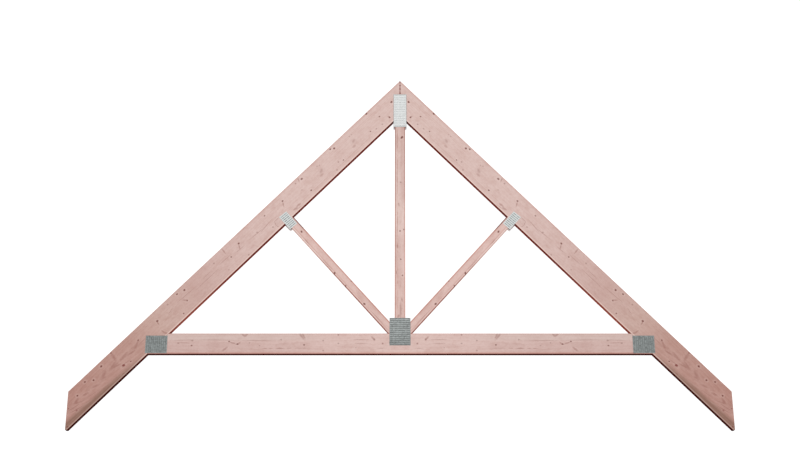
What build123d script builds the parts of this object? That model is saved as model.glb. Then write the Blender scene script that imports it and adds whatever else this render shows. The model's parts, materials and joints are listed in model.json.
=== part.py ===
from build123d import *
import os
from math import atan2, cos, degrees, floor, radians, sin, tan

# King post roof truss with two struts and rafters that overhang the walls.
# It lies flat on its nail plates: X runs along the bottom chord, Y towards the ridge,
# and Z through the thickness of the timber. The origin is below the middle of its outline.

# Setting out
pitch = 46.0  # slope of the rafters, in degrees
wall_span = 3540.0  # underside of the bottom chord, from heel to heel
overhang = 530.0  # from the heel to the plumb cut of the tail, measured level
tail_seat = 14.0  # height of the small level cut below the plumb cut
strut_reach = 800.0  # from the middle of the truss to where a strut meets its rafter

# Timber sections
timber_thickness = 47.0
rafter_depth = 195.0
chord_depth = 147.0
king_post_width = 75.0
strut_width = 60.0
arris_radius = 2.0  # eased long edges of planed timber
joint_gap = 0.3  # between two timbers that butt

# Nail plates, with lines of slots and a tooth bent down from each slot
plate_thickness = 1.5
apex_plate_width = 97.0
apex_plate_length = 267.0
apex_plate_drop = 113.0  # from the ridge down to the plate's top edge
centre_plate_width = 148.0
centre_plate_length = 199.0
centre_plate_lap = 86.0  # how far the plate reaches down over the bottom chord
heel_plate_width = 126.0  # upright, along its lines of slots
heel_plate_length = 152.0  # level
heel_plate_rise = 5.0  # from the chord's underside up to the plate's lower edge
heel_plate_outset = 12.0  # plate's middle, outside the middle of the heel joint
strut_plate_width = 68.0
strut_plate_length = 124.0
strut_plate_offset = 16.0  # plate's middle, to the lower side of the strut's centre line
slot_length = 24.0
slot_width = 5.0
slot_pitch = 28.0  # along a line of slots
slot_line_pitch = 14.5
slot_edge = 2.0  # least metal left outside the outermost slots
tooth_length = 16.0  # from the plate to the point

# Levels and distances that follow from the setting out
rise_per_run = tan(radians(pitch))
rafter_plumb_depth = rafter_depth / cos(radians(pitch))
half_span = wall_span / 2
half_width = half_span + overhang
overall_height = half_width * rise_per_run + rafter_plumb_depth - tail_seat
ridge_y = overall_height / 2
underside_apex_y = ridge_y - rafter_plumb_depth
chord_bottom_y = underside_apex_y - half_span * rise_per_run
chord_top_y = chord_bottom_y + chord_depth
king_post_side = king_post_width / 2
gap_plumb = joint_gap / cos(radians(pitch))
back_face_z = plate_thickness
front_face_z = back_face_z + timber_thickness

# A strut's centre line runs from the corner of king post and chord to the rafter's underside
strut_foot = Vector(king_post_side, chord_top_y)
strut_head = Vector(strut_reach, underside_apex_y - strut_reach * rise_per_run)
strut_angle = degrees(atan2(strut_head.Y - strut_foot.Y, strut_head.X - strut_foot.X))


def underside_y(x):
    """Level of the right rafter's underside at x."""
    return underside_apex_y - x * rise_per_run


def timber(points, slope):
    """A timber of the given outline, with the long edges that run at slope degrees eased."""
    outline = make_face(Polyline(*points, close=True))
    blank = Pos(0, 0, back_face_z) * extrude(outline, amount=timber_thickness, dir=(0, 0, 1))
    grain = Axis((0, 0, 0), (cos(radians(slope)), sin(radians(slope)), 0))
    return fillet(blank.edges().filter_by(grain), arris_radius)


def rafter():
    """Right rafter, plumb cut at the ridge and at the tail, with a small level cut below."""
    ridge_x = joint_gap / 2
    tail_y = underside_y(half_width) + tail_seat
    return timber(
        [
            (ridge_x, ridge_y - ridge_x * rise_per_run),
            (half_width, ridge_y - half_width * rise_per_run),
            (half_width, tail_y),
            (half_width - tail_seat / rise_per_run, tail_y),
            (ridge_x, underside_y(ridge_x)),
        ],
        -pitch,
    )


def bottom_chord():
    """Level tie whose ends are cut to the undersides of the rafters."""
    end_setback = gap_plumb / rise_per_run
    bottom_end = half_span - end_setback
    top_end = bottom_end - chord_depth / rise_per_run
    return timber(
        [
            (-bottom_end, chord_bottom_y),
            (bottom_end, chord_bottom_y),
            (top_end, chord_top_y),
            (-top_end, chord_top_y),
        ],
        0,
    )


def king_post():
    """Upright with a square foot and a pointed head that fits under both rafters."""
    foot_y = chord_top_y + joint_gap
    shoulder_y = underside_y(king_post_side) - gap_plumb
    return timber(
        [
            (-king_post_side, foot_y),
            (king_post_side, foot_y),
            (king_post_side, shoulder_y),
            (0, underside_apex_y - gap_plumb),
            (-king_post_side, shoulder_y),
        ],
        90,
    )


def strut():
    """Right strut: its foot fits the corner of king post and chord, its head the rafter."""
    run = radians(strut_angle)
    across = Vector(-sin(run), cos(run)) * (strut_width / 2)
    upper = strut_foot + across
    lower = strut_foot - across
    post_x = king_post_side + joint_gap
    seat_y = chord_top_y + joint_gap

    def head(start):
        """Where the long edge through start meets the rafter."""
        rise = tan(run)
        x = (underside_apex_y - gap_plumb - start.Y + start.X * rise) / (rise + rise_per_run)
        return (x, start.Y + (x - start.X) * rise)

    return timber(
        [
            (post_x, seat_y),
            (lower.X + (seat_y - lower.Y) / tan(run), seat_y),
            head(lower),
            head(upper),
            (post_x, upper.Y + (post_x - upper.X) * tan(run)),
        ],
        strut_angle,
    )


def slot_places(width, length):
    """Places of the slots on a plate: lines across its width, each turned half round from the last."""
    column_steps = floor((width - 2 * slot_edge - slot_length) / slot_pitch)
    line_steps = floor((length - 2 * slot_edge - slot_width) / slot_line_pitch)
    places = []
    for line in range(line_steps + 1):
        y = (line - line_steps / 2) * slot_line_pitch
        for column in range(column_steps + 1):
            x = (column - column_steps / 2) * slot_pitch
            places.append(Pos(x, y, 0) * Rot(0, 0, line % 2 * 180))
    return places


def tooth():
    """Pointed blade, bent down at the right end of a slot whose middle is the origin."""
    side = slot_width / 2
    outline = Polyline((-side, 0), (side, 0), (-side, -tooth_length), close=True)
    blade = extrude(Plane.YZ * make_face(outline), amount=plate_thickness, dir=(1, 0, 0))
    return Pos(slot_length / 2, 0, 0) * blade


def nail_plate(width, length):
    """Punched plate with its lower face on the plane z = 0 and its teeth below."""
    places = slot_places(width, length)
    punched = Rectangle(width, length) - [place * Rectangle(slot_length, slot_width) for place in places]
    return extrude(punched, amount=plate_thickness) + [place * tooth() for place in places]


def both_faces(name, plate, x, y, angle=0):
    """The same plate pressed into the two faces of the truss, teeth inwards and slots in line."""
    spot = Pos(x, y, 0) * Rot(0, 0, angle)
    return {
        f"{name}_front": Pos(0, 0, front_face_z) * spot * plate,
        f"{name}_back": Pos(0, 0, back_face_z) * spot * mirror(plate, about=Plane.XY),
    }


def timbers():
    right_rafter = rafter()
    right_strut = strut()
    return {
        "rafter_left": mirror(right_rafter, about=Plane.YZ),
        "rafter_right": right_rafter,
        "bottom_chord": bottom_chord(),
        "king_post": king_post(),
        "strut_left": mirror(right_strut, about=Plane.YZ),
        "strut_right": right_strut,
    }


def nail_plates():
    apex = nail_plate(apex_plate_width, apex_plate_length)
    centre = nail_plate(centre_plate_width, centre_plate_length)
    heel = nail_plate(heel_plate_width, heel_plate_length)
    brace = nail_plate(strut_plate_width, strut_plate_length)

    apex_y = ridge_y - apex_plate_drop - apex_plate_length / 2
    centre_y = chord_top_y - centre_plate_lap + centre_plate_length / 2
    heel_x = half_span - chord_depth / rise_per_run / 2 + heel_plate_outset
    heel_y = chord_bottom_y + heel_plate_rise + heel_plate_width / 2
    run = radians(strut_angle)
    brace_x = strut_head.X + strut_plate_offset * sin(run)
    brace_y = strut_head.Y - strut_plate_offset * cos(run)

    plates = both_faces("apex_plate", apex, 0, apex_y)
    plates |= both_faces("centre_plate", centre, 0, centre_y)
    for side, way in (("left", -1), ("right", 1)):
        plates |= both_faces(f"heel_plate_{side}", heel, way * heel_x, heel_y, way * 90)
        plates |= both_faces(f"strut_plate_{side}", brace, way * brace_x, brace_y, way * (strut_angle - 90))
    return plates


os.makedirs("parts", exist_ok=True)
for node, shape in (timbers() | nail_plates()).items():
    export_step(shape, f"parts/{node}.step")
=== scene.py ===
import json
from math import atan2, cos, pi, radians, tan

import bpy
from mathutils import Matrix, Vector


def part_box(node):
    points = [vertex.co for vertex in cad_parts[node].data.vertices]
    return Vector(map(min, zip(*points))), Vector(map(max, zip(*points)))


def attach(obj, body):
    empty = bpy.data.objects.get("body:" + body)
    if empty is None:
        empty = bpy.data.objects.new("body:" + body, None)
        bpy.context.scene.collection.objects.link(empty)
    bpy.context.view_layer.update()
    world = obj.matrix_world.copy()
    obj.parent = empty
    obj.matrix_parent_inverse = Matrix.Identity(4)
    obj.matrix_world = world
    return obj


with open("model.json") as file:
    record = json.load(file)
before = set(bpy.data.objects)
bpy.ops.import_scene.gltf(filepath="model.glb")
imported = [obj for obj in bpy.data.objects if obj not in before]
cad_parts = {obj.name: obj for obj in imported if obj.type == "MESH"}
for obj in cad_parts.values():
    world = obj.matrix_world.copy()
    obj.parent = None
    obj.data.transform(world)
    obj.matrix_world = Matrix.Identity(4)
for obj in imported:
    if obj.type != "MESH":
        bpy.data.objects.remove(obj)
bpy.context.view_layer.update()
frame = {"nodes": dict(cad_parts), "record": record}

# Looks of a king post roof truss that lies flat on a white floor, seen from beyond its eaves.

# Camera, fitted to the straight edges of the timber in the photograph
PHOTO_WIDTH_PX = 800
PHOTO_HEIGHT_PX = 450
FOCAL_PX = 1303
CAMERA_TILT = radians(19.7)
CAMERA_HEIGHT = 8.894  # above the front faces of the timber
CAMERA_DROP = 4.340  # from the ridge, back along the truss
SENSOR_WIDTH_MM = 36
FAR_CLIP = 200.0

# Knots and marks on the timber's front faces, in pixels of the photograph: spots, and strokes from one
# pixel to another. But for the king post, the left half of the truss stands for both.
RAFTER_SPOTS = {
    "deep": [
        (391.4, 102.1), (334.1, 148.4), (366.2, 113.8), (301.7, 178.9), (184.4, 290.1), (157.3, 321.1),
        (101.2, 366.4),
    ],
    "dark": [
        (389.6, 117.4), (282.6, 201.0), (238.7, 243.5), (177.0, 294.2), (311.2, 190.4), (330.3, 149.2),
        (93.6, 380.2), (84.9, 382.0), (77.4, 395.7),
    ],
    "knot": [
        (379.4, 116.6), (370.4, 131.5), (343.5, 160.0), (231.3, 257.0), (138.1, 340.4), (187.2, 300.6),
        (264.6, 215.7), (130.7, 361.4), (183.7, 313.4),
    ],
    "red": [(123.6, 365.4)],
    "rose": [(76.6, 410.5), (110.7, 352.8), (68.2, 408.6), (67.4, 427.0)],
    "faint": [
        (338.4, 162.0), (382.5, 124.3), (376.4, 128.7), (257.1, 232.3), (273.0, 227.1), (213.9, 263.3),
        (167.6, 304.6), (248.8, 254.8), (295.4, 183.6), (337.0, 169.8),
    ],
    "speck": [
        (351.4, 134.7), (349.4, 136.5), (301.9, 190.0), (228.9, 269.8), (317.1, 166.4), (319.2, 165.3),
    ],
    "eye": [(353.7, 141.0), (321.3, 171.0), (277.8, 222.4)],
    "seam": [(400.0, 81.8), (399.9, 85.7), (399.9, 89.2), (399.9, 93.3)],
}
RAFTER_STROKES = {
    "smear": [
        (388.0, 116.2, 389.6, 117.3), (282.8, 202.6, 283.8, 206.4), (238.9, 245.0, 239.8, 249.0),
        (157.6, 322.4, 158.8, 324.4), (182.6, 300.2, 186.8, 300.2), (162.0, 330.6, 164.6, 332.8),
        (221.8, 248.9, 225.6, 253.6), (298.0, 178.6, 299.0, 181.4), (110.8, 353.0, 113.0, 355.0),
    ],
    "flame": [
        (113.0, 355.0, 115.0, 360.0), (110.4, 369.0, 115.6, 361.6), (111.4, 368.6, 119.6, 364.4),
        (120.8, 360.2, 126.8, 352.4), (120.4, 360.0, 123.0, 358.4), (127.0, 355.6, 134.6, 350.6),
        (135.4, 348.0, 138.0, 340.6), (134.8, 347.8, 136.4, 346.6), (102.0, 378.7, 105.4, 371.6),
        (102.5, 378.4, 104.9, 377.2), (92.4, 387.6, 98.4, 384.6), (83.4, 395.4, 87.6, 393.2),
        (74.6, 403.3, 78.0, 398.6), (74.8, 403.4, 77.6, 402.6), (164.6, 332.8, 167.0, 333.4),
        (297.6, 205.6, 300.4, 203.8), (294.4, 209.6, 297.2, 208.0),
    ],
    "haze": [
        (353.0, 142.2, 354.2, 140.0), (320.8, 171.8, 321.8, 169.8), (353.6, 147.0, 355.0, 145.6),
        (321.0, 175.6, 322.4, 174.4),
    ],
    "crack": [(67.8, 411.4, 79.4, 404.2), (69.0, 413.8, 83.0, 405.6), (122.4, 374.2, 124.2, 372.6)],
    "patch": [
        (110.8, 369.2, 117.4, 362.8), (121.0, 359.8, 127.2, 352.7), (112.0, 354.5, 115.2, 359.0),
        (134.4, 348.2, 136.6, 345.5), (101.8, 378.6, 105.4, 371.4),
    ],
    "line": [
        (197.6, 288.4, 219.0, 268.4), (202.6, 278.8, 211.4, 270.8), (234.2, 254.1, 244.1, 245.7),
        (248.8, 240.2, 264.8, 227.2), (260.2, 233.0, 271.6, 219.4), (168.6, 313.8, 172.6, 308.4),
        (176.0, 303.6, 195.0, 287.4), (86.0, 398.6, 101.0, 388.4), (119.6, 367.2, 131.6, 358.8),
        (219.6, 264.6, 230.0, 255.2),
        (77.6, 402.6, 84.8, 400.5), (123.0, 358.4, 127.0, 355.6), (139.0, 344.4, 146.0, 337.6),
        (293.2, 210.2, 300.6, 203.6), (297.4, 209.4, 303.6, 204.4), (274.6, 221.4, 279.0, 217.4),
        (274.6, 221.6, 276.0, 225.6), (276.0, 225.6, 279.0, 227.0),
    ],
}
CHORD_SPOTS = {
    "dark": [(237.3, 344.1)],
    "knot": [(229.0, 341.5), (191.6, 345.6), (304.1, 344.9)],
    "rose": [(382.6, 343.5)],
    "faint": [
        (374.4, 339.5), (178.3, 343.2), (192.4, 340.5), (281.1, 339.6), (323.1, 340.6), (323.1, 350.6),
        (338.4, 334.9), (338.4, 343.4),
    ],
    "speck": [(249.5, 342.9), (259.5, 345.6), (355.9, 347.6)],
}
CHORD_STROKES = {
    "smear": [
        (229.6, 342.0, 236.0, 344.0), (237.6, 344.0, 240.2, 342.4), (276.2, 348.4, 283.2, 348.4),
    ],
    "flame": [
        (242.0, 334.2, 245.0, 336.2), (245.0, 336.4, 247.0, 334.4), (222.6, 350.9, 227.0, 347.2),
        (299.8, 334.0, 303.6, 338.8), (302.6, 334.0, 304.6, 338.4), (372.0, 337.2, 374.4, 339.5),
    ],
    "line": [
        (262.9, 348.4, 267.0, 348.4), (268.4, 348.4, 272.6, 348.4), (287.0, 348.3, 291.0, 348.3),
        (294.0, 348.2, 309.0, 348.1), (171.5, 340.4, 196.0, 339.8), (196.4, 339.8, 240.0, 340.2),
        (240.0, 340.4, 277.7, 340.9), (178.2, 342.7, 190.6, 343.1), (352.0, 339.6, 369.0, 339.6),
        (354.0, 343.3, 369.0, 343.3), (377.3, 348.4, 385.4, 348.4),
    ],
}
POST_SPOTS = {
    "deep": [(401.5, 137.7), (402.2, 137.0)],
    "knot": [(400.1, 230.9), (403.8, 229.5), (400.8, 259.3), (402.5, 275.4)],
    "faint": [(400.8, 182.3)],
}
POST_STROKES = {
    "smear": [
        (398.5, 203.4, 398.9, 205.8), (397.3, 245.0, 397.5, 247.6), (396.6, 271.4, 396.8, 274.0),
        (401.6, 298.0, 402.2, 301.0),
    ],
    "line": [
        (397.4, 130.0, 397.2, 152.0), (397.2, 156.0, 397.2, 190.0), (397.6, 208.0, 397.6, 236.0),
    ],
    "flame": [(400.7, 303.0, 400.6, 317.0), (398.4, 316.6, 398.9, 315.4)],
}
STRUT_SPOTS = {
    "deep": [(301.5, 231.7), (334.7, 273.0), (364.5, 303.9)],
    "knot": [(345.6, 285.5)],
    "faint": [(351.3, 281.3)],
}
STRUT_STROKES = {
    "line": [(304.4, 238.7, 309.0, 244.3), (322.0, 258.6, 332.0, 269.8), (371.0, 311.2, 384.0, 324.6)],
}

# Each kind of spot: radius in metres, how much longer than wide, depth of colour
SPOT_KINDS = {
    "deep": (0.0072, 1.25, 0.95),
    "dark": (0.0062, 1.25, 0.90),
    "knot": (0.0055, 1.25, 0.76),
    "red": (0.0095, 1.30, 0.85),
    "rose": (0.0060, 1.20, 0.60),
    "faint": (0.0058, 1.30, 0.42),
    "speck": (0.0046, 1.20, 0.36),
    "eye": (0.0240, 1.30, 0.08),
    "seam": (0.0068, 1.00, 0.80),
}
ROSE_KINDS = ("red", "rose", "seam")

# Each kind of stroke: half its width in metres, depth of colour
STROKE_KINDS = {
    "smear": (0.0054, 0.46),
    "flame": (0.0072, 0.44),
    "haze": (0.0085, 0.32),
    "patch": (0.0120, 0.36),
    "line": (0.0026, 0.45),
    "crack": (0.0036, 0.55),
}

# Colour of each shade of mark, in the order in which they lie over each other, and of the wood round a mark
MARK_COLOURS = {"brown": (146, 90, 80), "dark": (112, 50, 40), "rose": (122, 44, 38)}
HALO_COLOUR = (242, 216, 207)
HALO_SHARE = 0.16

# How far a mark reaches, in its own radii: where it begins to show and where it is full
CORE_REACH = (1.45, 0.35)
HALO_REACH = (2.9, 1.5)
PUSH_REACH = (3.0, 0.0)
MARK_WOBBLE = 1.5
WOBBLE_WAVES = 170.0  # in a metre, as all waves here

# Ground colours along the grain: share of the timber's length, colour
RAFTER_GROUND = [
    (0.0, (228, 202, 195)), (0.40, (229, 202, 195)), (0.55, (224, 195, 188)), (0.66, (213, 180, 172)),
    (0.76, (214, 183, 173)), (0.84, (199, 159, 148)), (1.0, (195, 151, 140)),
]
CHORD_GROUND = [(0.0, (234, 206, 199)), (0.5, (226, 197, 190)), (1.0, (220, 191, 184))]
POST_GROUND = [
    (0.0, (216, 186, 178)), (0.08, (226, 198, 190)), (0.20, (233, 208, 201)), (0.36, (231, 205, 198)),
    (0.45, (239, 215, 207)), (0.56, (235, 208, 201)), (0.72, (238, 210, 203)), (0.80, (230, 199, 191)),
    (1.0, (232, 202, 194)),
]
STRUT_GROUND = [(0.0, (233, 202, 194)), (1.0, (234, 203, 195))]

# Growth rings of the softwood. Waves are given along, across and through the grain.
RING_WIDTH = 0.011
RING_DRIFT = 0.030
RING_DRIFT_WAVES = (0.8, 3.0, 3.0)
RING_STAIN = (190, 150, 138)
KNOT_PUSH = 0.010

# Stains in the grain: waves, detail and roughness of the noise, noise at which a stain begins and is full,
# its share and its colour
GRAIN_STAINS = {
    "streak": ((1.2, 95.0, 95.0), 3.0, 0.50, 0.40, 0.75, 0.16, (230, 212, 206)),
    "line": ((0.6, 60.0, 60.0), 2.0, 0.60, 0.62, 0.68, 0.25, (226, 204, 197)),
    "blotch": ((9.0, 14.0, 14.0), 5.0, 0.75, 0.42, 0.74, 1.00, (243, 236, 234)),
    "mottle": ((70.0, 90.0, 90.0), 1.0, 0.50, 0.35, 0.75, 0.60, (246, 240, 239)),
}

# Fibres and sawn ends
FIBRE_WAVES = (9.0, 420.0, 420.0)
FIBRE_BUMP = (0.0006, 0.5)  # depth, strength
FIBRE_STAIN = (205, 180, 172)
FIBRE_SHARE = 0.15
END_STAIN = (214, 176, 162)
END_SHARE = 0.8
TIMBER_GLOSS = 0.25
ROUGH_FIBRE = (-0.6, 1.3)  # fibre noise at which the timber would be smooth and wholly rough

# How much of a face's normal makes it an end, or makes it face down in the roof: from not at all to wholly
END_NORMAL = (0.35, 0.6)
DOWN_NORMAL = (0.3, 0.6)

# Stains of the rafters, with a painted highlight along the lower edge and painted shade along the upper edge,
# wider in the upper half. Their undersides carry painted shade, given at the ridge, by the heel and on the
# tail.
WEATHERED_TAIL = (206, 205, 196)
RIDGE_SEAM = (140, 84, 76)
RAFTER_LOWER_EDGE_HIGHLIGHT = (244, 214, 203)
RAFTER_UPPER_EDGE_SHADE = (230, 198, 189)
RAFTER_UPPER_SIDE_SHADE = (248, 241, 240)
RAFTER_UNDERSIDE_SHADE_FRONT = ((126, 58, 50), (178, 108, 97), (96, 36, 31))
RAFTER_UNDERSIDE_SHADE_BACK = ((150, 68, 57), (206, 126, 112), (110, 46, 40))

# Stains of the bottom chord, with painted shade along its upper edge and on its underside
CHORD_UPPER_GREY = (221, 204, 196)
CHORD_LOWER_SIDE = (251, 249, 249)
CHORD_LOWER_EDGE = (246, 208, 198)
CHORD_UPPER_EDGE_SHADE = (232, 196, 186)
CHORD_UNDERSIDE_SHADE_FRONT = (86, 33, 28)
CHORD_UNDERSIDE_SHADE_BACK = (94, 40, 34)

# Stains of the king post. Its edges are darker, in colours that change from its head to its foot, and what
# faces down carries painted shade.
POST_RIGHT_SIDE = (246, 240, 239)
POST_LEFT_SIDE = (247, 244, 243)
POST_DOTS = (226, 192, 183)
POST_LEFT_EDGE = ((198, 158, 148), (226, 188, 178))
POST_RIGHT_EDGE = ((212, 176, 166), (244, 214, 206))
POST_UNDERSIDE_SHADE = (250, 215, 208)

# Stains of the struts, with painted shade along the upper edge and in the upper corner by the head, and a
# painted highlight along the lower edge. Their lower sides carry painted shade at the foot and painted light
# towards the head.
STRUT_UPPER_EDGE_SHADE = (228, 190, 181)
STRUT_HEAD_CORNER_SHADE = (110, 48, 40)
STRUT_LINE = (226, 196, 188)
STRUT_LOWER_EDGE_HIGHLIGHT = (250, 228, 221)
STRUT_UNDERSIDE_LIGHT_AND_SHADE = ((214, 172, 163), (255, 242, 238))

# Sizes of the stains
ARRIS_WIDTH = 0.006
POST_LINE_INSET = 0.019
POST_DOT_WAVES = (22.0, 1.0, 1.0)
SEAM_WIDTH = 0.0045
SEAM_SPECK_WAVES = 42.0
BAND_SLANT = 0.04  # how fast the weathered band of a tail widens towards its tip
BAND_DRIFT_WAVES = (4.0, 18.0, 18.0)
BAND_STREAK_WAVES = (2.5, 70.0, 70.0)

# Bottoms of the plates' slots stand just clear of the timber
POCKET_LIFT = 0.0001
POCKET_WAVES = 75.0
POCKET_ROUGHNESS = 0.9

# Darker metal on the plates: along the lines of slots, and painted shade round the rim
SLOT_LINE_PITCH = 0.0145
ROW_PATCH_WAVES = 55.0
RIM_WIDTH = 0.006

# Spangle of the zinc
SPANGLE_WAVES = 110.0
CLOUD_WAVES = 70.0
CLOUD_SHARE = 0.6
SPANGLE_BUMP = (0.0004, 0.3)  # depth, strength
ZINC_METALLIC = 0.35
INNER_ZINC_LIGHT = (252, 252, 252)  # painted light on the inner faces of the back plates, to lift the shade on them

# Zinc of each kind of plate: its colour, darkening on the rows of slots, painted shade on the rim and
# darkening at the lower end, share of the colour that the
#  dull spangle keeps, and roughness
ZINC_KINDS = {
    "apex": ((231, 233, 232), (248, 248, 248), (206, 207, 207), (255, 255, 255), 0.83, 0.40),
    "strut": ((223, 227, 226), (212, 213, 213), (255, 255, 255), (255, 255, 255), 0.82, 0.40),
    "centre": ((196, 202, 201), (230, 230, 230), (240, 240, 240), (236, 236, 236), 0.38, 0.65),
    "heel": ((172, 179, 178), (250, 250, 250), (255, 255, 255), (255, 255, 255), 0.30, 0.65),
}

# Bottoms of the slots in each kind of plate, painted with the shade and bruised timber in a slot: colour,
# share of it that dull patches keep
POCKET_KINDS = {
    "apex": ((220, 224, 223), 0.75),
    "strut": ((164, 170, 168), 0.55),
    "centre": ((142, 147, 145), 0.55),
    "heel": ((138, 143, 141), 0.70),
}

# Studio
FLOOR_HALF = 60.0
FLOOR_DROP = 0.0005
FLOOR_SEEN = (0.2, 0.2, 0.2, 1)  # to the camera, where it also glows
FLOOR_UNSEEN = (0.85, 0.84, 0.84, 1)  # to the timber
WORLD_SEEN = (1, 1, 1, 1)
WORLD_UNSEEN = (0.75, 0.75, 0.75, 1)
LAMP_PLACE = (0, 5.0, 9.0)
LAMP_TILT = radians(-26)
LAMP_SIZE = (18.0, 10.0)
LAMP_WATTS = 350

# Setting out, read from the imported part
mounts = {mount["name"]: mount for mount in frame["record"]["mounts"]}
roof_normal = Vector(mounts["roof_face_right"]["axis"])
pitch = atan2(roof_normal.x, roof_normal.y)
rafter_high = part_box("rafter_right")[1]
chord_low, chord_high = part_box("bottom_chord")
post_low, post_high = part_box("king_post")
strut_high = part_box("strut_right")[1]
back_z, front_z = chord_low.z, chord_high.z
ridge = Vector((0, rafter_high.y, front_z))
underside_apex_y = chord_low.y + chord_high.x * tan(pitch)
rafter_length = rafter_high.x / cos(pitch)
rafter_depth = (ridge.y - underside_apex_y) * cos(pitch)
chord_depth = chord_high.y - chord_low.y
post_width = post_high.x - post_low.x
post_length = post_high.y - post_low.y
strut_foot = Vector((post_high.x, chord_high.y, 0))
strut_lower = Vector((strut_high.x, underside_apex_y - strut_high.x * tan(pitch), 0))
strut_upper = Vector(((underside_apex_y - strut_high.y) / tan(pitch), strut_high.y, 0))
strut_run = (strut_lower + strut_upper) / 2 - strut_foot
strut_length = strut_run.length
strut_slope = atan2(strut_run.y, strut_run.x)
strut_half_width = abs((strut_upper - strut_foot).cross(strut_run.normalized()).z)
camera_place = Vector((0, ridge.y - CAMERA_DROP, front_z + CAMERA_HEIGHT))
camera_turn = Matrix.Rotation(CAMERA_TILT, 3, "X")


def on_front(pixel):
    """Point on the front faces of the timber that shows at a pixel of the photograph."""
    right = (pixel[0] - PHOTO_WIDTH_PX / 2) / FOCAL_PX
    up = (PHOTO_HEIGHT_PX / 2 - pixel[1]) / FOCAL_PX
    ray = camera_turn @ Vector((right, up, -1))
    return camera_place + ray * (CAMERA_HEIGHT / -ray.z)


def rgb(red, green, blue):
    """Linear colour of an sRGB colour given from 0 to 255."""
    shares = [channel / 255 for channel in (red, green, blue)]
    return [s / 12.92 if s <= 0.04045 else ((s + 0.055) / 1.055) ** 2.4 for s in shares] + [1]


def dimmed(colour, share):
    """A linear colour at a share of its strength."""
    return [channel * share for channel in colour[:3]] + [1]


class Nodes:
    """A node tree, built up call by call."""

    def __init__(self, tree):
        self.tree = tree

    def node(self, kind, inputs=None, **settings):
        """Adds a node, with its settings and what feeds its inputs."""
        made = self.tree.nodes.new(kind)
        for key, value in settings.items():
            setattr(made, key, value)
        for key, value in (inputs or {}).items():
            self.feed(made.inputs[key], value)
        return made

    def feed(self, socket, value):
        """Links a socket to an output, or sets its value."""
        if isinstance(value, bpy.types.NodeSocket):
            self.tree.links.new(value, socket)
        else:
            socket.default_value = value

    def math(self, operation, a, b=0.0):
        return self.node("ShaderNodeMath", {0: a, 1: b}, operation=operation).outputs[0]

    def times(self, a, b):
        return self.math("MULTIPLY", a, b)

    def vector(self, operation, a, b=(0, 0, 0)):
        return self.node("ShaderNodeVectorMath", {0: a, 1: b}, operation=operation).outputs["Vector"]

    def length(self, vector):
        return self.node("ShaderNodeVectorMath", {0: vector}, operation="LENGTH").outputs["Value"]

    def turned(self, vector, angle):
        """A vector turned about Z."""
        inputs = {"Vector": vector, "Angle": angle}
        return self.node("ShaderNodeVectorRotate", inputs, rotation_type="Z_AXIS").outputs[0]

    def split(self, vector):
        return self.node("ShaderNodeSeparateXYZ", {0: vector}).outputs

    def join(self, x, y, z):
        return self.node("ShaderNodeCombineXYZ", {0: x, 1: y, 2: z}).outputs[0]

    def noise(self, point, scale, detail=2.0, roughness=0.5):
        """Noise from 0 to 1. The scale is a number, or one for each axis."""
        if isinstance(scale, tuple):
            point, scale = self.vector("MULTIPLY", point, scale), 1.0
        inputs = {"Vector": point, "Scale": scale, "Detail": detail, "Roughness": roughness}
        return self.node("ShaderNodeTexNoise", inputs).outputs["Fac"]

    def between(self, value, low, high):
        """How far a value is from low to high, from 0 to 1, eased at both ends."""
        inputs = {"Value": value, "From Min": low, "From Max": high}
        made = self.node("ShaderNodeMapRange", inputs, interpolation_type="SMOOTHSTEP", clamp=False)
        return made.outputs["Result"]

    def mix(self, share, a, b, blend="MIX"):
        """Mixes two colours."""
        made = self.node("ShaderNodeMix", data_type="RGBA", blend_type=blend)
        for place, value in ((0, share), (6, a), (7, b)):
            self.feed(made.inputs[place], value)
        return made.outputs[2]

    def ramp(self, share, stops):
        """Colour along a row of (share, colour) stops."""
        made = self.node("ShaderNodeValToRGB", {"Fac": share})
        elements = made.color_ramp.elements
        while len(elements) < len(stops):
            elements.new(1)
        for element, (place, colour) in zip(elements, stops):
            element.position = place
            element.color = colour
        return made.outputs["Color"]

    def bump(self, height, distance, strength):
        inputs = {"Height": height, "Distance": distance, "Strength": strength}
        return self.node("ShaderNodeBump", inputs).outputs["Normal"]


class Shader(Nodes):
    """A material and its main shader."""

    def __init__(self, name):
        self.material = bpy.data.materials.new(name)
        self.material.use_nodes = True
        super().__init__(self.material.node_tree)
        self.surface = self.tree.nodes["Principled BSDF"].inputs
        self.point = self.node("ShaderNodeTexCoord").outputs["Object"]


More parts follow.
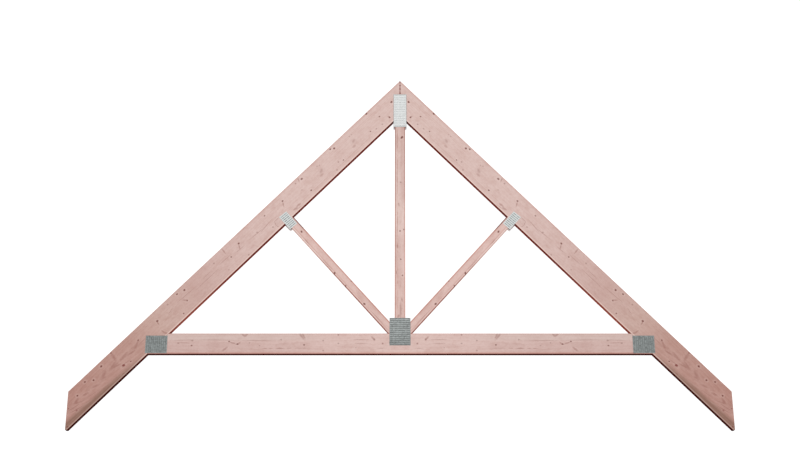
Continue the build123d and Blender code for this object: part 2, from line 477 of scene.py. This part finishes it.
def mark_group():
    """Node group: adds one mark to the dark and pale colour so far.

    The point's z carries the push on the rings from mark to mark, so that the renderer works the marks
    out in a row.
    """
    group = bpy.data.node_groups.new("mark", "ShaderNodeTree")
    inputs = {
        "Point": "Vector", "Place": "Vector", "Turn": "Vector", "Size": "Vector",
        "Wobble": "Float", "Tone": "Float", "Dark": "Float", "Pale": "Float",
    }
    for name, kind in inputs.items():
        group.interface.new_socket(name, in_out="INPUT", socket_type=f"NodeSocket{kind}")
    for name in ("Point", "Dark", "Pale"):
        group.interface.new_socket(name, in_out="OUTPUT", socket_type=f"NodeSocket{inputs[name]}")
    nodes = Nodes(group)
    given = nodes.node("NodeGroupInput").outputs
    result = nodes.node("NodeGroupOutput").inputs
    u, v, push = nodes.split(given["Point"])
    frame_of_mark = {
        "Vector": given["Point"], "Location": given["Place"],
        "Rotation": given["Turn"], "Scale": given["Size"],
    }
    away = nodes.node("ShaderNodeMapping", frame_of_mark, vector_type="TEXTURE").outputs[0]
    reach = nodes.length(away)
    edge = nodes.math("ADD", reach, given["Wobble"])
    core = nodes.times(nodes.between(edge, *CORE_REACH), given["Tone"])
    halo = nodes.times(nodes.between(edge, *HALO_REACH), given["Tone"])
    swell = nodes.times(nodes.between(reach, *PUSH_REACH), given["Tone"])
    nodes.feed(result["Point"], nodes.join(u, v, nodes.math("MAXIMUM", push, swell)))
    nodes.feed(result["Dark"], nodes.math("MAXIMUM", given["Dark"], core))
    nodes.feed(result["Pale"], nodes.math("MAXIMUM", given["Pale"], halo))
    return group


MARK_GROUP = mark_group()


class Timber(Shader):
    """Planed, pink-stained softwood with axes of its own: u along the grain, v across, w through."""

    def __init__(self, name, start, slope, length, mirrored):
        super().__init__(name)
        self.full_length = length
        self.mirrored = mirrored
        self.to_own = Matrix.Rotation(-slope, 4, "Z") @ Matrix.Translation(-start)
        x, y, z = self.split(self.point)
        normal_x, normal_y, normal_z = self.split(self.node("ShaderNodeNewGeometry").outputs["Normal"])
        if mirrored:
            normal_x = self.times(normal_x, self.math("SIGN", x))
            x = self.math("ABSOLUTE", x)
        self.x = x
        self.own = self.turned(self.vector("SUBTRACT", self.join(x, y, z), start), -slope)
        self.u, self.v, self.w = self.split(self.own)
        normal_u = self.split(self.turned(self.join(normal_x, normal_y, normal_z), -slope))[0]
        self.end = self.between(self.math("ABSOLUTE", normal_u), *END_NORMAL)
        self.facing_down = self.between(self.times(normal_y, -1.0), *DOWN_NORMAL)
        self.fibre = self.noise(self.own, FIBRE_WAVES, 4.0, 0.6)

    def shade(self, share, colour):
        """Multiplies a colour into the timber by a share, for stains and for painted shade."""
        self.colour = self.mix(share, self.colour, colour, "MULTIPLY")

    def tint(self, stops):
        """Ground colour, along the grain."""
        stops = [(place, rgb(*colour)) for place, colour in stops]
        self.colour = self.ramp(self.math("DIVIDE", self.u, self.full_length), stops)

    def along(self, start, full):
        """How far a point is from one share of the timber's length to another, from 0 to 1."""
        return self.between(self.u, start * self.full_length, full * self.full_length)

    def place(self, *pixel):
        """A pixel's point on the timber's front face, in the timber's own axes."""
        point = on_front(pixel)
        if self.mirrored:
            point.x = abs(point.x)
        return self.to_own @ point

    def marks(self, spots, strokes):
        """Knots and marks where the photograph shows them, with pale rims and a push on the rings."""
        ragged = self.math("SUBTRACT", self.noise(self.own, WOBBLE_WAVES, 3.0), 0.5)
        self.wobble = self.times(ragged, MARK_WOBBLE)
        self.mark_point = self.join(self.u, self.v, 0.0)
        self.shares = dict.fromkeys(MARK_COLOURS, 0.0)
        self.pale = 0.0
        for kind, pixels in spots.items():
            radius, length_share, tone = SPOT_KINDS[kind]
            shade = "rose" if kind in ROSE_KINDS else "dark"
            for pixel in pixels:
                self.mark(shade, self.place(*pixel), 0.0, (radius * length_share, radius, 0), tone)
        for kind, ends in strokes.items():
            half_width, tone = STROKE_KINDS[kind]
            for x0, y0, x1, y1 in ends:
                start, end = self.place(x0, y0), self.place(x1, y1)
                run = end - start
                size = (run.length / 2 + half_width, half_width, 0)
                self.mark("brown", (start + end) / 2, atan2(run.y, run.x), size, tone)
        self.push = self.split(self.mark_point)[2]

    def mark(self, shade, place, turn, size, tone):
        """Adds one mark to a shade of colour."""
        mark = self.node("ShaderNodeGroup", node_tree=MARK_GROUP)
        inputs = {
            "Point": self.mark_point, "Place": place, "Turn": (0, 0, turn), "Size": size,
            "Wobble": self.wobble, "Tone": tone, "Dark": self.shares[shade], "Pale": self.pale,
        }
        for key, value in inputs.items():
            self.feed(mark.inputs[key], value)
        self.shares[shade] = mark.outputs["Dark"]
        self.mark_point, self.pale = mark.outputs["Point"], mark.outputs["Pale"]

    def rings(self, pith_v, pith_w, climb, contrast):
        """Growth rings about a pith that climbs through the timber, so that they show as long flames.

        The stains of the grain and the pale wood round the marks lie over them.
        """
        drift = self.noise(self.own, RING_DRIFT_WAVES, 3.0)
        across = self.math("SUBTRACT", self.v, pith_v)
        through = self.math("SUBTRACT", self.math("SUBTRACT", self.w, pith_w), self.times(self.u, climb))
        radius = self.math("ADD", self.length(self.join(across, through, 0.0)), self.times(drift, RING_DRIFT))
        radius = self.math("ADD", radius, self.times(self.push, KNOT_PUSH))
        ring = self.math("POWER", self.math("FRACT", self.math("DIVIDE", radius, RING_WIDTH)), 3.0)
        self.shade(self.times(ring, contrast), rgb(*RING_STAIN))
        for waves, detail, roughness, start, full, share, colour in GRAIN_STAINS.values():
            stained = self.between(self.noise(self.own, waves, detail, roughness), start, full)
            self.shade(self.times(stained, share), rgb(*colour))
        self.shade(self.times(self.between(self.fibre, 0.3, 0.8), FIBRE_SHARE), rgb(*FIBRE_STAIN))
        self.colour = self.mix(self.times(self.pale, HALO_SHARE), self.colour, rgb(*HALO_COLOUR))

    def stripe(self, position, reach, share, colour, blend="MULTIPLY"):
        """Colours a stripe along the grain, centred at a place across it: stains, painted highlights and
        painted shade.
        """
        off = self.math("ABSOLUTE", self.math("SUBTRACT", self.v, position))
        band = self.times(self.between(off, reach, 0.5 * reach), share)
        self.colour = self.mix(band, self.colour, colour, blend)

    def finish(self, front_shade, back_shade):
        """Colours the marks and the ends, and paints shade on what faces down in the roof; then all goes to
        the shader.
        """
        for shade, colour in MARK_COLOURS.items():
            self.colour = self.mix(self.shares[shade], self.colour, rgb(*colour))
        self.shade(self.times(self.end, END_SHARE), rgb(*END_STAIN))
        # Painted shade on what faces down in the roof, mixed from its back face to its front face
        forward = self.between(self.w, 0.7 * back_z + 0.3 * front_z, 0.4 * back_z + 0.6 * front_z)
        self.shade(self.facing_down, self.mix(forward, back_shade, front_shade))
        gloss = self.times(self.math("SUBTRACT", 1.0, self.facing_down), TIMBER_GLOSS)
        self.feed(self.surface["Base Color"], self.colour)
        self.feed(self.surface["Roughness"], self.between(self.fibre, *ROUGH_FIBRE))
        self.feed(self.surface["Normal"], self.bump(self.fibre, *FIBRE_BUMP))
        self.feed(self.surface["Specular IOR Level"], gloss)
        return self.material


def weather_tail(wood, end):
    """Weathered band along the lower edge of a rafter's tail, at its end."""
    drift = wood.times(wood.noise(wood.own, BAND_DRIFT_WAVES, 3.0), 0.15 * rafter_depth)
    widening = wood.times(wood.math("SUBTRACT", wood.u, 0.94 * rafter_length), BAND_SLANT)
    level = wood.math("SUBTRACT", wood.math("ADD", wood.v, drift), widening)
    low = wood.between(level, -0.66 * rafter_depth, -0.86 * rafter_depth)
    streaks = wood.between(wood.noise(wood.own, BAND_STREAK_WAVES, 3.0), 0.0, 0.45)
    wood.shade(wood.times(wood.times(end, low), streaks), rgb(*WEATHERED_TAIL))


def darken_seam(wood):
    """Plumb cut at the ridge, dark where the two rafters meet."""
    gap = wood.between(wood.x, SEAM_WIDTH, 0.4 * SEAM_WIDTH)
    specks = wood.between(wood.noise(wood.own, SEAM_SPECK_WAVES, 1.0), 0.40, 0.58)
    wood.shade(wood.times(gap, wood.math("ADD", wood.times(specks, 0.7), 0.3)), rgb(*RIDGE_SEAM))


def rafter_underside(wood, darkenings):
    """Painted shade of a rafter's underside: paler by the heel, darkest on the tail."""
    at_ridge, by_heel, on_tail = [rgb(*darkening) for darkening in darkenings]
    darkening = wood.mix(wood.along(0.50, 0.78), at_ridge, by_heel)
    return wood.mix(wood.along(0.775, 0.825), darkening, on_tail)


def rafter_material():
    """Knotty timber, darker towards the tail."""
    wood = Timber("rafter_timber", Vector((0, ridge.y, 0)), -pitch, rafter_length, mirrored=True)
    wood.tint(RAFTER_GROUND)
    wood.marks(RAFTER_SPOTS, RAFTER_STROKES)
    contrast = wood.math("ADD", wood.times(wood.along(0.70, 0.86), 0.10), 0.08)
    wood.rings(pith_v=-0.5 * rafter_depth, pith_w=0.05, climb=-0.03, contrast=contrast)
    end = wood.along(0.80, 0.90)
    weather_tail(wood, end)
    # Painted highlight along the lower edge, weaker on the tail; painted shade along the upper edge, wider in
    # the upper half
    highlight_share = wood.math("SUBTRACT", 0.7, wood.times(end, 0.45))
    wood.stripe(-rafter_depth, 2 * ARRIS_WIDTH, highlight_share, rgb(*RAFTER_LOWER_EDGE_HIGHLIGHT), "MIX")
    wood.stripe(0, ARRIS_WIDTH, 0.6, rgb(*RAFTER_UPPER_EDGE_SHADE))
    upper_half = wood.along(0.58, 0.46)
    wood.stripe(0, 3 * ARRIS_WIDTH, wood.times(upper_half, 0.8), rgb(*RAFTER_UPPER_SIDE_SHADE))
    darken_seam(wood)
    # Painted shade on the underside, darker towards the front face
    front_shade = rafter_underside(wood, RAFTER_UNDERSIDE_SHADE_FRONT)
    return wood.finish(front_shade, rafter_underside(wood, RAFTER_UNDERSIDE_SHADE_BACK))


def chord_material():
    """Timber of the bottom chord, palest in the middle, with painted shade nearly black on its underside."""
    wood = Timber("chord_timber", Vector((0, chord_low.y, 0)), 0.0, chord_high.x, mirrored=True)
    wood.tint(CHORD_GROUND)
    wood.marks(CHORD_SPOTS, CHORD_STROKES)
    wood.rings(pith_v=0.4 * chord_depth, pith_w=-0.02, climb=-0.02, contrast=0.12)
    # Away from the middle it is greyer above and darker below
    outer = wood.along(0.20, 0.45)
    grey = wood.times(outer, 0.30)
    wood.stripe(0.85 * chord_depth, 0.25 * chord_depth, grey, rgb(*CHORD_UPPER_GREY), "MIX")
    wood.stripe(0.25 * chord_depth, 0.40 * chord_depth, outer, rgb(*CHORD_LOWER_SIDE))
    wood.stripe(0, 2 * ARRIS_WIDTH, 0.8, rgb(*CHORD_LOWER_EDGE))
    # Painted shade along the upper edge and, nearly black, on the underside
    wood.stripe(chord_depth, ARRIS_WIDTH, 0.8, rgb(*CHORD_UPPER_EDGE_SHADE))
    return wood.finish(rgb(*CHORD_UNDERSIDE_SHADE_FRONT), rgb(*CHORD_UNDERSIDE_SHADE_BACK))


def post_material():
    """Timber of the king post, with a dotted line near its left edge."""
    head = Vector((post_low.x, post_high.y, 0))
    wood = Timber("post_timber", head, -pi / 2, post_length, mirrored=False)
    wood.tint(POST_GROUND)
    wood.marks(POST_SPOTS, POST_STROKES)
    wood.rings(pith_v=0.4 * post_width, pith_w=-0.03, climb=-0.02, contrast=0.12)
    # Stains on the right side of its upper part and on the left side further down
    wood.stripe(post_width, 0.55 * post_width, wood.along(0.44, 0.34), rgb(*POST_RIGHT_SIDE))
    low = wood.times(wood.along(0.55, 0.61), wood.along(0.78, 0.72))
    wood.stripe(0.2 * post_width, 0.6 * post_width, low, rgb(*POST_LEFT_SIDE))
    dots = wood.between(wood.noise(wood.own, POST_DOT_WAVES), 0.38, 0.60)
    wood.stripe(POST_LINE_INSET, 0.5 * ARRIS_WIDTH, wood.times(dots, 0.5), rgb(*POST_DOTS))
    for position, (at_head, at_foot) in ((0, POST_LEFT_EDGE), (post_width, POST_RIGHT_EDGE)):
        darkening = wood.mix(wood.along(0, 1), rgb(*at_head), rgb(*at_foot))
        wood.stripe(position, 1.5 * ARRIS_WIDTH, 0.9, darkening)
    # Painted shade on what faces down in the roof
    return wood.finish(rgb(*POST_UNDERSIDE_SHADE), rgb(*POST_UNDERSIDE_SHADE))


def strut_material():
    """Timber of the struts, with painted shade in the upper corners beside the plates at their heads."""
    wood = Timber("strut_timber", strut_foot, strut_slope, strut_length, mirrored=True)
    wood.tint(STRUT_GROUND)
    wood.marks(STRUT_SPOTS, STRUT_STROKES)
    wood.rings(pith_v=0, pith_w=-0.03, climb=-0.02, contrast=0.12)
    # Painted shade along the upper edge, darkest in the corner by the head
    wood.stripe(strut_half_width, 2 * ARRIS_WIDTH, 0.8, rgb(*STRUT_UPPER_EDGE_SHADE))
    wood.stripe(strut_half_width, 1.2 * ARRIS_WIDTH, wood.along(0.85, 0.92), rgb(*STRUT_HEAD_CORNER_SHADE))
    wood.stripe(-strut_half_width + 2 * ARRIS_WIDTH, 0.5 * ARRIS_WIDTH, 0.45, rgb(*STRUT_LINE))
    # The lower side has painted light towards the rafter and painted shade towards the foot
    upward = wood.along(0.30, 0.95)
    wood.stripe(-strut_half_width, ARRIS_WIDTH, wood.times(upward, 0.8), rgb(*STRUT_LOWER_EDGE_HIGHLIGHT), "MIX")
    at_foot, at_head = [rgb(*darkening) for darkening in STRUT_UNDERSIDE_LIGHT_AND_SHADE]
    darkening = wood.mix(upward, at_foot, at_head)
    return wood.finish(darkening, darkening)


def plate_box(kind):
    """Low and high corner in plan of a kind's plate on the right-hand half, or on the middle line."""
    names = (f"{kind}_plate_front", f"{kind}_plate_right_front")
    node = next(node for node in frame["nodes"] if node in names)
    return [Vector((corner.x, corner.y, 0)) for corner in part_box(node)]


class Zinc(Shader):
    """Hot-dip zinc of a kind of plate, with places counted from the middle of the plate."""

    def __init__(self, kind):
        super().__init__(f"{kind}_zinc")
        low, high = plate_box(kind)
        self.half = (high - low) / 2
        x, y, self.z = self.split(self.point)
        self.off = self.vector("SUBTRACT", self.join(self.math("ABSOLUTE", x), y, 0.0), (low + high) / 2)
        cells = self.node("ShaderNodeTexVoronoi", {"Vector": self.point, "Scale": SPANGLE_WAVES})
        cell = self.times(self.split(cells.outputs["Color"])[0], 1 - CLOUD_SHARE)
        self.cloud = self.between(self.noise(self.point, CLOUD_WAVES), 0.30, 0.70)
        self.spangle = self.math("ADD", cell, self.times(self.cloud, CLOUD_SHARE))

    def rows(self, row_slope):
        """Where it is darker along the lines of slots, which lie across row_slope."""
        along = self.split(self.turned(self.off, -row_slope))[0]
        line = self.math("FRACT", self.math("DIVIDE", along, SLOT_LINE_PITCH))
        row = self.between(self.math("ABSOLUTE", self.math("SUBTRACT", line, 0.5)), 0.30, 0.12)
        return self.times(row, self.between(self.noise(self.point, ROW_PATCH_WAVES), 0.35, 0.60))

    def rim(self):
        """Where the edge of the plate is near, which gets painted shade."""
        inside = self.split(self.vector("SUBTRACT", self.half, self.vector("ABSOLUTE", self.off)))
        return self.between(self.math("MINIMUM", inside[0], inside[1]), RIM_WIDTH, 0.5 * RIM_WIDTH)

    def foot(self):
        """The lower end of the plate."""
        return self.between(self.split(self.off)[1], -0.3 * self.half.y, -0.7 * self.half.y)

    def inner(self):
        """Inner faces of the back plates, which get painted light."""
        normal = self.node("ShaderNodeNewGeometry").outputs["Normal"]
        faces_up = self.between(self.split(normal)[2], 0.5, 0.8)
        return self.times(faces_up, self.between(self.z, 0.5 * (back_z + front_z), back_z))


def zinc_material(kind, row_slope):
    """Zinc of a kind of plate, whose lines of slots lie across row_slope."""
    *colours, dim_share, roughness = ZINC_KINDS[kind]
    tone, *darkenings = [rgb(*colour) for colour in colours]
    zinc = Zinc(kind)
    colour = zinc.mix(zinc.spangle, dimmed(tone, dim_share), tone)
    # Darker rows, painted shade round the rim and a darker lower end
    for share, darkening in zip((zinc.rows(row_slope), zinc.rim(), zinc.foot()), darkenings):
        colour = zinc.mix(share, colour, darkening, "MULTIPLY")
    # Painted light: the inner faces of the back plates are near white and not metallic
    inner = zinc.inner()
    zinc.feed(zinc.surface["Base Color"], zinc.mix(inner, colour, rgb(*INNER_ZINC_LIGHT)))
    zinc.feed(zinc.surface["Metallic"], zinc.times(zinc.math("SUBTRACT", 1.0, inner), ZINC_METALLIC))
    zinc.feed(zinc.surface["Roughness"], zinc.between(zinc.spangle, -roughness, 2 - roughness))
    zinc.feed(zinc.surface["Normal"], zinc.bump(zinc.cloud, *SPANGLE_BUMP))
    return zinc.material


def pocket_material(kind):
    """Bruised timber and shade in the bottom of a slot."""
    colour, dim_share = POCKET_KINDS[kind]
    tone = rgb(*colour)
    wood = Shader(f"{kind}_slot_pocket")
    patch = wood.between(wood.noise(wood.point, POCKET_WAVES), 0.3, 0.65)
    wood.feed(wood.surface["Base Color"], wood.mix(patch, dimmed(tone, dim_share), tone))
    wood.surface["Roughness"].default_value = POCKET_ROUGHNESS
    return wood.material


def slot_corners(node, outer_z):
    """Corners of each slot on a plate's outer face, in order round the slot."""
    mesh = frame["nodes"][node].data
    beside = {}
    for face in mesh.polygons:
        if abs(face.normal.z) < 0.5:
            rim = {tuple(round(c, 5) for c in mesh.vertices[i].co) for i in face.vertices}
            rim = [corner for corner in rim if abs(corner[2] - outer_z) < POCKET_LIFT]
            if len(rim) == 2:
                beside.setdefault(rim[0], []).append(rim[1])
                beside.setdefault(rim[1], []).append(rim[0])
    loops = []
    while beside:
        corner = next(iter(beside))
        loop = []
        while corner in beside:
            loop.append(Vector(corner))
            corner = next((near for near in beside.pop(corner) if near in beside), None)
        loops.append(loop)
    outline = max(loops, key=lambda loop: max((corner - loop[0]).length for corner in loop))
    return [loop for loop in loops if loop is not outline]


def add_pockets(kind, plates):
    """One piece for the bottoms of the slots in plates of a kind."""
    points, faces = [], []
    for node in plates:
        low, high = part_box(node)
        front = node.endswith("_front")
        outer_z, floor_z = (high.z, front_z + POCKET_LIFT) if front else (low.z, back_z - POCKET_LIFT)
        for loop in slot_corners(node, outer_z):
            faces.append(tuple(range(len(points), len(points) + len(loop))))
            points += [(corner.x, corner.y, floor_z) for corner in loop]
    mesh = bpy.data.meshes.new(f"{kind}_slot_pockets")
    mesh.from_pydata(points, [], faces)
    mesh.materials.append(pocket_material(kind))
    piece = bpy.data.objects.new(f"{kind}_slot_pockets", mesh)
    bpy.context.scene.collection.objects.link(piece)
    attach(piece, "root")


def dress(node, material):
    """Gives a node of the part its material."""
    slots = frame["nodes"][node].data.materials
    slots.clear()
    slots.append(material)


def dress_timbers():
    """Gives each timber its material. Left and right share one."""
    rafter, strut = rafter_material(), strut_material()
    for side in ("left", "right"):
        dress(f"rafter_{side}", rafter)
        dress(f"strut_{side}", strut)
    dress("bottom_chord", chord_material())
    dress("king_post", post_material())


def dress_plates():
    """Gives each plate its zinc, and its slots their bottoms."""
    row_slopes = {"apex": pi / 2, "strut": strut_slope, "centre": pi / 2, "heel": 0.0}
    for kind, row_slope in row_slopes.items():
        zinc = zinc_material(kind, row_slope)
        plates = [node for node in frame["nodes"] if node.startswith(f"{kind}_plate")]
        for node in plates:
            dress(node, zinc)
        add_pockets(kind, plates)


def add_camera():
    """Camera where the photograph was taken from."""
    lens = bpy.data.cameras.new("camera")
    lens.sensor_width = SENSOR_WIDTH_MM
    lens.sensor_fit = "HORIZONTAL"
    lens.lens = FOCAL_PX / PHOTO_WIDTH_PX * SENSOR_WIDTH_MM
    lens.clip_end = FAR_CLIP
    camera = bpy.data.objects.new("camera", lens)
    camera.location = camera_place
    camera.rotation_euler = camera_turn.to_euler()
    bpy.context.scene.collection.objects.link(camera)
    bpy.context.scene.camera = camera


def add_floor():
    """Lit white floor that shows hardly any shadow and throws little light back at the timber."""
    mesh = bpy.data.meshes.new("floor")
    corners = [(x * FLOOR_HALF, y * FLOOR_HALF, -FLOOR_DROP) for x, y in ((-1, -1), (1, -1), (1, 1), (-1, 1))]
    mesh.from_pydata(corners, [], [(0, 1, 2, 3)])
    floor = bpy.data.objects.new("floor", mesh)
    bpy.context.scene.collection.objects.link(floor)
    white = Shader("floor")
    seen = white.node("ShaderNodeLightPath").outputs["Is Camera Ray"]
    white.feed(white.surface["Base Color"], white.mix(seen, FLOOR_UNSEEN, FLOOR_SEEN))
    white.feed(white.surface["Emission Strength"], seen)
    white.surface["Emission Color"].default_value = (1, 1, 1, 1)
    white.surface["Roughness"].default_value = 0.9
    white.surface["Specular IOR Level"].default_value = 0.1
    mesh.materials.append(white.material)


def add_lights():
    """One wide soft lamp and an even pale surround."""
    light = bpy.data.lights.new("overhead", "AREA")
    light.shape = "RECTANGLE"
    light.size, light.size_y = LAMP_SIZE
    light.energy = LAMP_WATTS
    lamp = bpy.data.objects.new("overhead", light)
    lamp.location = LAMP_PLACE
    lamp.rotation_euler = (LAMP_TILT, 0, 0)
    lamp.visible_camera = False
    bpy.context.scene.collection.objects.link(lamp)

    world = bpy.data.worlds.new("studio")
    world.use_nodes = True
    bpy.context.scene.world = world
    nodes = Nodes(world.node_tree)
    seen = nodes.node("ShaderNodeLightPath").outputs["Is Camera Ray"]
    shade = nodes.mix(seen, WORLD_UNSEEN, WORLD_SEEN)
    nodes.feed(world.node_tree.nodes["Background"].inputs["Color"], shade)


bpy.context.scene.view_settings.view_transform = "Standard"
dress_timbers()
dress_plates()
add_camera()
add_floor()
add_lights()
